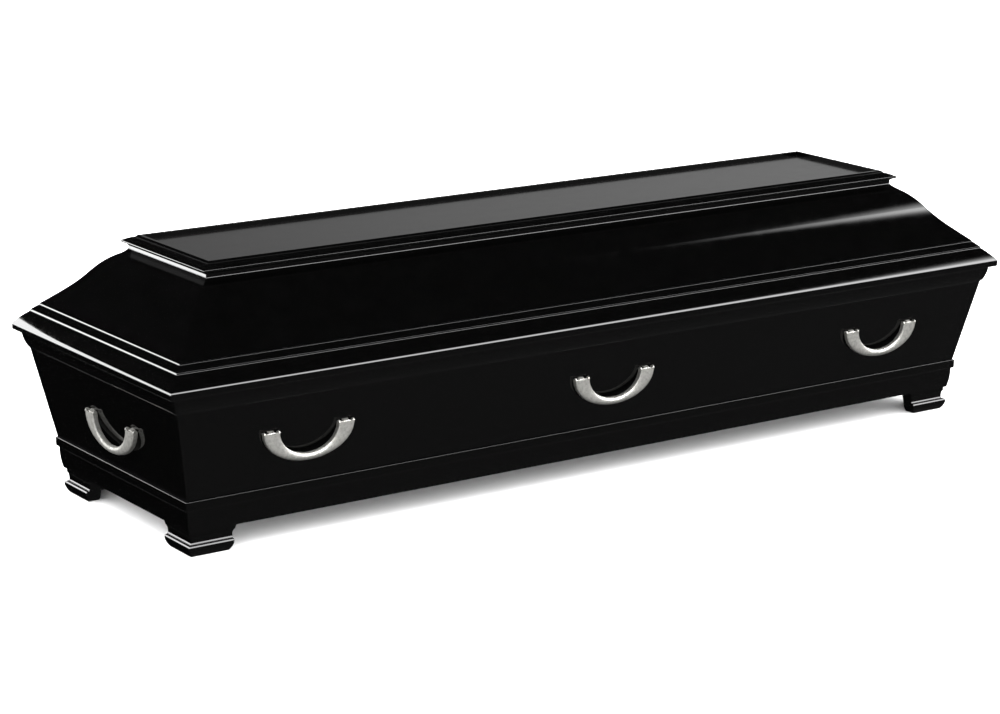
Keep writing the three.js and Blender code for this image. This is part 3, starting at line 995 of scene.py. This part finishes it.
@dataclass
class Handles:
    """The eight hanging handles with their lugs, in millimetres.

    A bow is worked out in its own frame, with its axis along X and its outside at -Y. Spill is how
    far a cutter reaches past what it cuts, and overlap how far it reaches into the next cut.
    """

    width: float = 197.0
    drop: float = 62.4
    arm: float = 34.0
    grip: float = 14.5
    depth: float = 9.5
    top: float = 2.5
    lip: float = 1.2
    plate: float = 2.0
    wall: float = 3.0
    pocket: float = 12.5
    scallop: float = 3.2
    hole_radius: float = 1.8
    spill: float = 1.0
    overlap: float = 0.5
    bow_ease: float = 0.4
    lug_ease: float = 0.3
    weld: float = 0.001
    edge_at_arms: float = 0.84
    edge_at_bottom: float = 0.3
    power_at_arms: float = 3.0
    power_at_bottom: float = 2.0
    turns: dict[str, Side] = field(
        default_factory=lambda: {
            "front_left": Side.FRONT,
            "front_middle": Side.FRONT,
            "front_right": Side.FRONT,
            "back_left": Side.BACK,
            "back_middle": Side.BACK,
            "back_right": Side.BACK,
            "left_end": Side.LEFT,
            "right_end": Side.RIGHT,
        }
    )

    def band(self, stations: int = 97, across: int = 24) -> np.ndarray:
        """The U-shaped band between two half ellipses.

        At angle a a section runs from the inner to the outer ellipse. Its place across is
        (1 + |cos p|^(2/n) sign(cos p)) / 2 and its front stands edge + (1 - edge) sin(p)^(2/n) of the
        depth out from the flat back. Edge and n fall from their values at the arms to those at the
        bottom with the square of sin a, so the arms are flat and the bottom is crowned.

        Args:
            stations: How many sections.
            across: How many points each has over its front.

        Returns:
            The points in millimetres, as sections by points by 3.
        """
        level = self.top - self.lip
        a = np.concatenate([[0], np.linspace(0, np.pi, stations), [np.pi]])[:, None]
        lift = np.zeros_like(a)
        lift[[0, -1]] = self.lip
        half, fall = self.width / 2, self.drop + level
        across_a, down_a = np.cos(a), np.sin(a)
        inner_fall = fall - self.grip
        inner = np.concatenate([(half - self.arm) * across_a, level - inner_fall * down_a + lift], 1)
        outer = np.concatenate([half * across_a, level - fall * down_a + lift], 1)
        low = down_a**2
        edge = self.edge_at_arms + (self.edge_at_bottom - self.edge_at_arms) * low
        power = 2 / (self.power_at_arms + (self.power_at_bottom - self.power_at_arms) * low)
        p = np.linspace(0, np.pi, across)[None, :]
        place = 0.5 + 0.5 * np.sign(np.cos(p)) * np.abs(np.cos(p)) ** power
        out = edge + (1 - edge) * np.sin(p) ** power
        ones = np.ones_like(a)
        place = np.concatenate([place, 0 * ones, ones], 1)
        out = np.concatenate([out, 0 * ones, 0 * ones], 1)
        flat = inner[:, None] + (outer - inner)[:, None] * place[..., None]
        return np.stack([flat[..., 0], self.depth * (0.5 - out), flat[..., 1]], -1)

    def rods(
        self, radius: float, spans: Sequence[tuple[float, float]], sides: int
    ) -> list[np.ndarray]:
        """Rods along the axis, on both arms.

        Args:
            radius: Their radius.
            spans: Where each starts and ends, as distances from the middle.
            sides: How many sides each has.

        Returns:
            A shell for each rod, as two ends by points by 3.
        """
        turn = np.linspace(0, 2 * np.pi, sides, endpoint=False)
        ring = np.stack([np.zeros(sides), radius * np.cos(turn), radius * np.sin(turn)], -1)
        ends = np.concatenate([side * np.array(spans) for side in (-1, 1)])
        return [ring + end[:, None, None] * np.array([1.0, 0.0, 0.0]) for end in ends]

    def prisms(self, outline: np.ndarray, front: float, back: float) -> list[np.ndarray]:
        """An outline carried from front to back, on both arms.

        Args:
            outline: Its points, as x from the arm's middle and z.
            front: The y where it starts.
            back: The y where it ends.

        Returns:
            A shell for each arm, as two ends by points by 3.
        """
        middle = self.width / 2 - self.arm / 2
        ends = np.array([front, back])
        return [
            np.stack(
                [
                    np.broadcast_to(side * middle + outline[:, 0], (2, len(outline))),
                    np.broadcast_to(ends[:, None], (2, len(outline))),
                    np.broadcast_to(outline[:, 1], (2, len(outline))),
                ],
                -1,
            )
            for side in (-1, 1)
        ]

    def bow(self) -> bpy.types.Mesh:
        """The bow: the band, two ears to each arm, a pocket, a scalloped front and pin holes.

        The scallop is an arc of the radius (h^2 + s^2) / 2s, for half its width h and its depth s.

        Returns:
            The mesh, with its axis along X through the origin.
        """
        half, inner = self.width / 2, self.width / 2 - self.arm
        opening = self.arm / 2 - self.wall
        high, front = self.top + self.depth, -self.depth / 2
        radius = (opening**2 + self.scallop**2) / (2 * self.scallop)
        across = np.linspace(-opening, opening, 25)
        sag = self.top - self.scallop + radius - np.sqrt(radius**2 - across**2)
        scallop = np.concatenate([np.stack([across, sag], -1), [[opening, high], [-opening, high]]])
        floor = self.top - self.pocket
        pocket = np.array([[-opening, floor], [opening, floor], [opening, high], [-opening, high]])
        behind, spill = front + self.plate, self.spill
        spans = ((inner, inner + self.wall), (half - self.wall, half))
        ears = self.rods(self.depth / 2, spans, sides=40)
        holes = self.rods(self.hole_radius, ((inner - spill, half + spill),), sides=24)
        scallops = self.prisms(scallop, front - spill, behind + self.overlap)
        tools = (
            ("UNION", closed_mesh("ears", ears)),
            ("DIFFERENCE", closed_mesh("pockets", self.prisms(pocket, behind, self.depth))),
            ("DIFFERENCE", closed_mesh("scallops", scallops)),
            ("DIFFERENCE", closed_mesh("pin_holes", holes)),
        )
        blank = closed_mesh("bow_blank", [self.band()])
        for operation, tool in tools:
            cut = blank.modifiers.new(tool.name, "BOOLEAN")
            cut.operation, cut.object, cut.solver = operation, tool, "EXACT"
        ease_edges(blank, self.bow_ease, above_degrees=40)
        mesh = finished_copy(blank, "bow")
        for piece in (blank, *(tool for _, tool in tools)):
            bpy.data.objects.remove(piece)
        return mesh

    def lug(self, node: bpy.types.Object) -> bpy.types.Mesh:
        """A lug with its pin: the solid's faces joined up, and their edges eased.

        Args:
            node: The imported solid.

        Returns:
            The mesh, in its place.
        """
        mesh = node.data.copy()
        work = bmesh.new()
        work.from_mesh(mesh)
        bmesh.ops.remove_doubles(work, verts=work.verts, dist=self.weld * MM)
        flat = math.radians(1)
        bmesh.ops.dissolve_limit(work, angle_limit=flat, verts=work.verts, edges=work.edges)
        work.to_mesh(mesh)
        work.free()
        blank = bpy.data.objects.new("lug_blank", mesh)
        bpy.context.scene.collection.objects.link(blank)
        ease_edges(blank, self.lug_ease, above_degrees=50)
        eased = finished_copy(blank, "lug")
        bpy.data.objects.remove(blank)
        return eased

    def dress(
        self, dresser: Dresser, joints: Sequence[dict[str, Any]], metal: bpy.types.Material
    ) -> None:
        """Builds the handles' fine bows, each at its hinge, and their lugs.

        Args:
            dresser: Stands the pieces in for their solids.
            joints: The record's joints, which give each handle's axis.
            metal: Their finish.
        """
        bow = self.bow()
        axes = {joint["child"]: Vector(joint["pos_m"]) for joint in joints}
        for place, side in self.turns.items():
            body = f"{place}_handle"
            mesh = bow.copy()
            mesh.transform(Matrix.Translation(axes[body]) @ Matrix.Rotation(side.value, 4, "Z"))
            self.put(dresser, mesh, f"handle_bow_{place}", body, metal)
            for end in "ab":
                node = f"handle_lug_{place}_{end}"
                self.put(dresser, self.lug(dresser.nodes[node]), node, "coffin", metal)

    def put(
        self, dresser: Dresser, mesh: bpy.types.Mesh, node: str, body: str, metal: bpy.types.Material
    ) -> None:
        """Makes an object of a finished mesh and stands it in for its solid.

        Args:
            dresser: Stands it in.
            mesh: The finished mesh, in its place.
            node: The solid's name.
            body: The body that it moves with.
            metal: Its finish.
        """
        mesh.materials.clear()
        mesh.materials.append(metal)
        piece = bpy.data.objects.new("fine_" + node, mesh)
        bpy.context.scene.collection.objects.link(piece)
        dresser.stand_in(piece, node, body)


@dataclass(frozen=True)
class Glow:
    """A patch of the far room that only reflections see.

    It lies where a direction points towards a heading, by the dot product of the two, and where the
    direction's height is between two limits. Each pair gives the start and end of its soft edge.
    """

    towards: tuple[float, float, float]
    across: tuple[float, float]
    rise: tuple[float, float]
    fall: tuple[float, float]
    strength: float


def in_one_reflection(tree: bpy.types.NodeTree) -> bpy.types.NodeSocket:
    """Gives 1 to what is seen directly or in one reflection, and 0 to later ones."""
    depth = add(tree, "LightPath").outputs["Ray Depth"]
    return add(tree, "Math", {"operation": "LESS_THAN"}, i0=depth, i1=ONE_REFLECTION).outputs[0]


@dataclass
class Studio:
    """Pale floor, soft light and the camera.

    Later is how bright a reflection in a reflection finds the room. The card is a lit screen whose
    middle is in millimetres and whose width and height are in metres, and card_turn turns it about
    the vertical. The floor's reach is in metres, and its clouds of sheen are in millimetres.
    """

    floor_colour: str = "#F6F6F6"
    floor_reach: float = 40.0
    floor_cloud_mm: float = 500.0
    daylight: float = 4.6
    glows: Sequence[Glow] = (
        # long soft box in front, to the right: draws the arrises of the long side
        Glow((0.67, -0.74, 0.0), (0.60, 0.72), (0.30, 0.36), (0.62, 0.70), 12.0),
        # grey wall behind, brighter to the right: lies on the top panel
        Glow((0.94, 0.34, 0.0), (0.50, 1.0), (-0.2, 0.0), (0.34, 0.42), 0.53),
        # dim floor in front, and patches of it to the front left, behind on the right and behind on
        # the left: they lie on the leaning panels
        Glow((0.57, -0.64, -0.53), (0.55, 0.8), (-1.1, -1.0), (-0.1, 0.02), 0.085),
        Glow((-0.57, -0.64, -0.53), (0.7, 0.9), (-1.1, -1.0), (-0.1, 0.02), 0.085),
        Glow((0.75, 0.40, -0.53), (0.87, 0.96), (-1.1, -1.0), (-0.1, 0.02), 0.085),
        Glow((-0.75, 0.40, -0.53), (0.90, 0.97), (-1.1, -1.0), (-0.1, 0.02), 0.085),
        # the dark of the room
        Glow((0.0, 0.0, 0.0), (-2.0, -1.0), (-1.1, -1.0), (1.5, 2.0), 0.008),
    )
    later: float = 0.45
    card_mm: tuple[float, float, float] = (-1709.0, 984.0, 465.0)
    card_size: tuple[float, float] = (1.15, 0.67)
    card_turn: float = 34.8
    card_radiance: float = 9.0
    card_on_metal: float = 3.4

    camera_mm: tuple[float, float, float] = (-3401.5, -4733.4, 1701.7)
    yaw: float = 35.09
    pitch: float = 14.477
    roll: float = -0.498
    focal_px: float = 2875.5
    width_px: float = 1000.0
    sensor_mm: float = 36.0
    clip_end: float = 200.0

    def camera(self) -> None:
        """Sets up the camera from its place and its yaw, pitch and roll."""
        y, p, r = (math.radians(a) for a in (self.yaw, self.pitch, self.roll))
        ahead = Vector((math.sin(y) * math.cos(p), math.cos(y) * math.cos(p), -math.sin(p)))
        level = Vector((math.cos(y), -math.sin(y), 0))
        down = ahead.cross(level)
        right = math.cos(r) * level + math.sin(r) * down
        up = math.sin(r) * level - math.cos(r) * down
        data = bpy.data.cameras.new("camera")
        data.sensor_width = self.sensor_mm
        data.lens = self.sensor_mm * self.focal_px / self.width_px
        data.clip_end = self.clip_end
        camera = bpy.data.objects.new("camera", data)
        place = Matrix((right, up, -ahead)).transposed().to_4x4()
        place.translation = Vector(self.camera_mm) * MM
        camera.matrix_world = place
        bpy.context.scene.collection.objects.link(camera)
        bpy.context.scene.camera = camera

    def floor(self) -> None:
        """Lays the pale floor. Reflections in the lacquer see the room behind it instead."""
        material, tree, place = new_material("pale_painted_floor")
        cloud = noise(tree, place, self.floor_cloud_mm, Detail=3.0)
        rough = add(tree, "ValToRGB", stops=[(0.3, 0.85), (0.7, 0.95)], Fac=cloud.outputs["Fac"])
        colour = linear(self.floor_colour)
        shader = add(tree, "BsdfPrincipled", Base_Color=colour, Roughness=rough.outputs[0])
        shader.inputs["Specular IOR Level"].default_value = 0.0
        close_material(tree, shader)
        corners = self.floor_reach * np.array([[-1, -1, 0], [1, -1, 0], [1, 1, 0], [-1, 1, 0]])
        floor = make_piece("floor", corners, [[0, 1, 2, 3]], material)
        floor.visible_glossy = False

    def world(self) -> None:
        """Surrounds the coffin with white for the floor, and with a dim room for reflections.

        The room is the sum of its glows, each the product of its three soft edges. A reflection in a
        reflection sees an even dimness instead.
        """
        world = bpy.data.worlds.new("studio")
        bpy.context.scene.world = world
        world.use_nodes = True
        tree = world.node_tree
        tree.nodes.clear()
        direction = add(tree, "TexCoord").outputs["Generated"]
        height = add(tree, "SeparateXYZ", Vector=direction).outputs["Z"]
        total = 0.0
        for glow in self.glows:
            facing = add(
                tree, "VectorMath", {"operation": "DOT_PRODUCT"}, i0=direction, i1=glow.towards
            ).outputs["Value"]
            across, rise, fall = (
                add(
                    tree,
                    "MapRange",
                    {"interpolation_type": "SMOOTHSTEP"},
                    Value=value,
                    From_Min=low,
                    From_Max=high,
                    To_Min=to_low,
                    To_Max=to_high,
                ).outputs["Result"]
                for value, (low, high), to_low, to_high in (
                    (facing, glow.across, 0.0, 1.0),
                    (height, glow.rise, 0.0, glow.strength),
                    (height, glow.fall, 1.0, 0.0),
                )
            )
            patch = add(tree, "Math", {"operation": "MULTIPLY"}, i0=across, i1=rise).outputs[0]
            total = add(
                tree, "Math", {"operation": "MULTIPLY_ADD"}, i0=patch, i1=fall, i2=total
            ).outputs[0]
        total = add(tree, "Mix", Factor=in_one_reflection(tree), A=self.later, B=total).outputs[0]
        bright = add(tree, "Background", Color=linear("#FFFFFF"), Strength=self.daylight)
        room = add(tree, "Background", Color=linear("#FFFFFF"), Strength=total)
        glossy = add(tree, "LightPath").outputs["Is Glossy Ray"]
        mixed = add(tree, "MixShader", i0=glossy, i1=bright.outputs[0], i2=room.outputs[0])
        out = add(tree, "OutputWorld")
        tree.links.new(mixed.outputs[0], out.inputs["Surface"])

    def card(self, name: str, radiance: float, receivers: Sequence[bpy.types.Object]) -> None:
        """Stands a lit card on the floor behind the left end, for the edges there to reflect.

        An area lamp's radiance is its power over its area and pi.

        Args:
            name: The lamp's name.
            radiance: How bright the card looks.
            receivers: The pieces that it lights.
        """
        lamp = bpy.data.lights.new(name, "AREA")
        lamp.shape = "RECTANGLE"
        lamp.size, lamp.size_y = self.card_size
        lamp.energy = radiance * math.pi * lamp.size * lamp.size_y
        lamp.use_nodes = True
        tree = lamp.node_tree
        tree.links.new(in_one_reflection(tree), tree.nodes["Emission"].inputs["Strength"])
        card = bpy.data.objects.new(name, lamp)
        card.matrix_world = (
            Matrix.Translation(Vector(self.card_mm) * MM)
            @ Matrix.Rotation(math.radians(self.card_turn), 4, "Z")
            @ Matrix.Rotation(-math.pi / 2, 4, "X")
        )
        card.visible_camera = card.visible_diffuse = False
        lit = bpy.data.collections.new(name + "_lights")
        for piece in receivers:
            lit.objects.link(piece)
        card.light_linking.receiver_collection = lit
        bpy.context.scene.collection.objects.link(card)

    def build(self) -> None:
        """Builds the camera, the floor and the surroundings."""
        scene = bpy.context.scene
        scene.view_settings.view_transform = "Standard"
        self.camera()
        self.floor()
        self.world()
        pieces = [piece for piece in scene.objects if piece.type == "MESH"]
        metal = [piece for piece in pieces if "handle" in piece.name]
        lacquer = [piece for piece in pieces if "handle" not in piece.name]
        self.card("card_for_lacquer", self.card_radiance, lacquer)
        self.card("card_for_metal", self.card_on_metal, metal)


def main() -> None:
    """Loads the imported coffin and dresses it."""
    logging.basicConfig(level=logging.INFO, format="%(message)s")
    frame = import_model()
    dresser = Dresser(Plan(), frame["nodes"])
    lacquer = BlackLacquer().make()
    panel = BlackLacquer(name="black_lacquer_satin_top_panel", roughness=0.12, haze=0.05).make()
    Lid().dress(dresser, lacquer, panel)
    Box().dress(dresser, lacquer, BareBoard().make())
    BracketFeet().dress(dresser, lacquer)
    Handles().dress(dresser, frame["record"]["behaviour"]["joints"], SatinSilver().make())
    Studio().build()


if __name__ == "__main__":
    main()
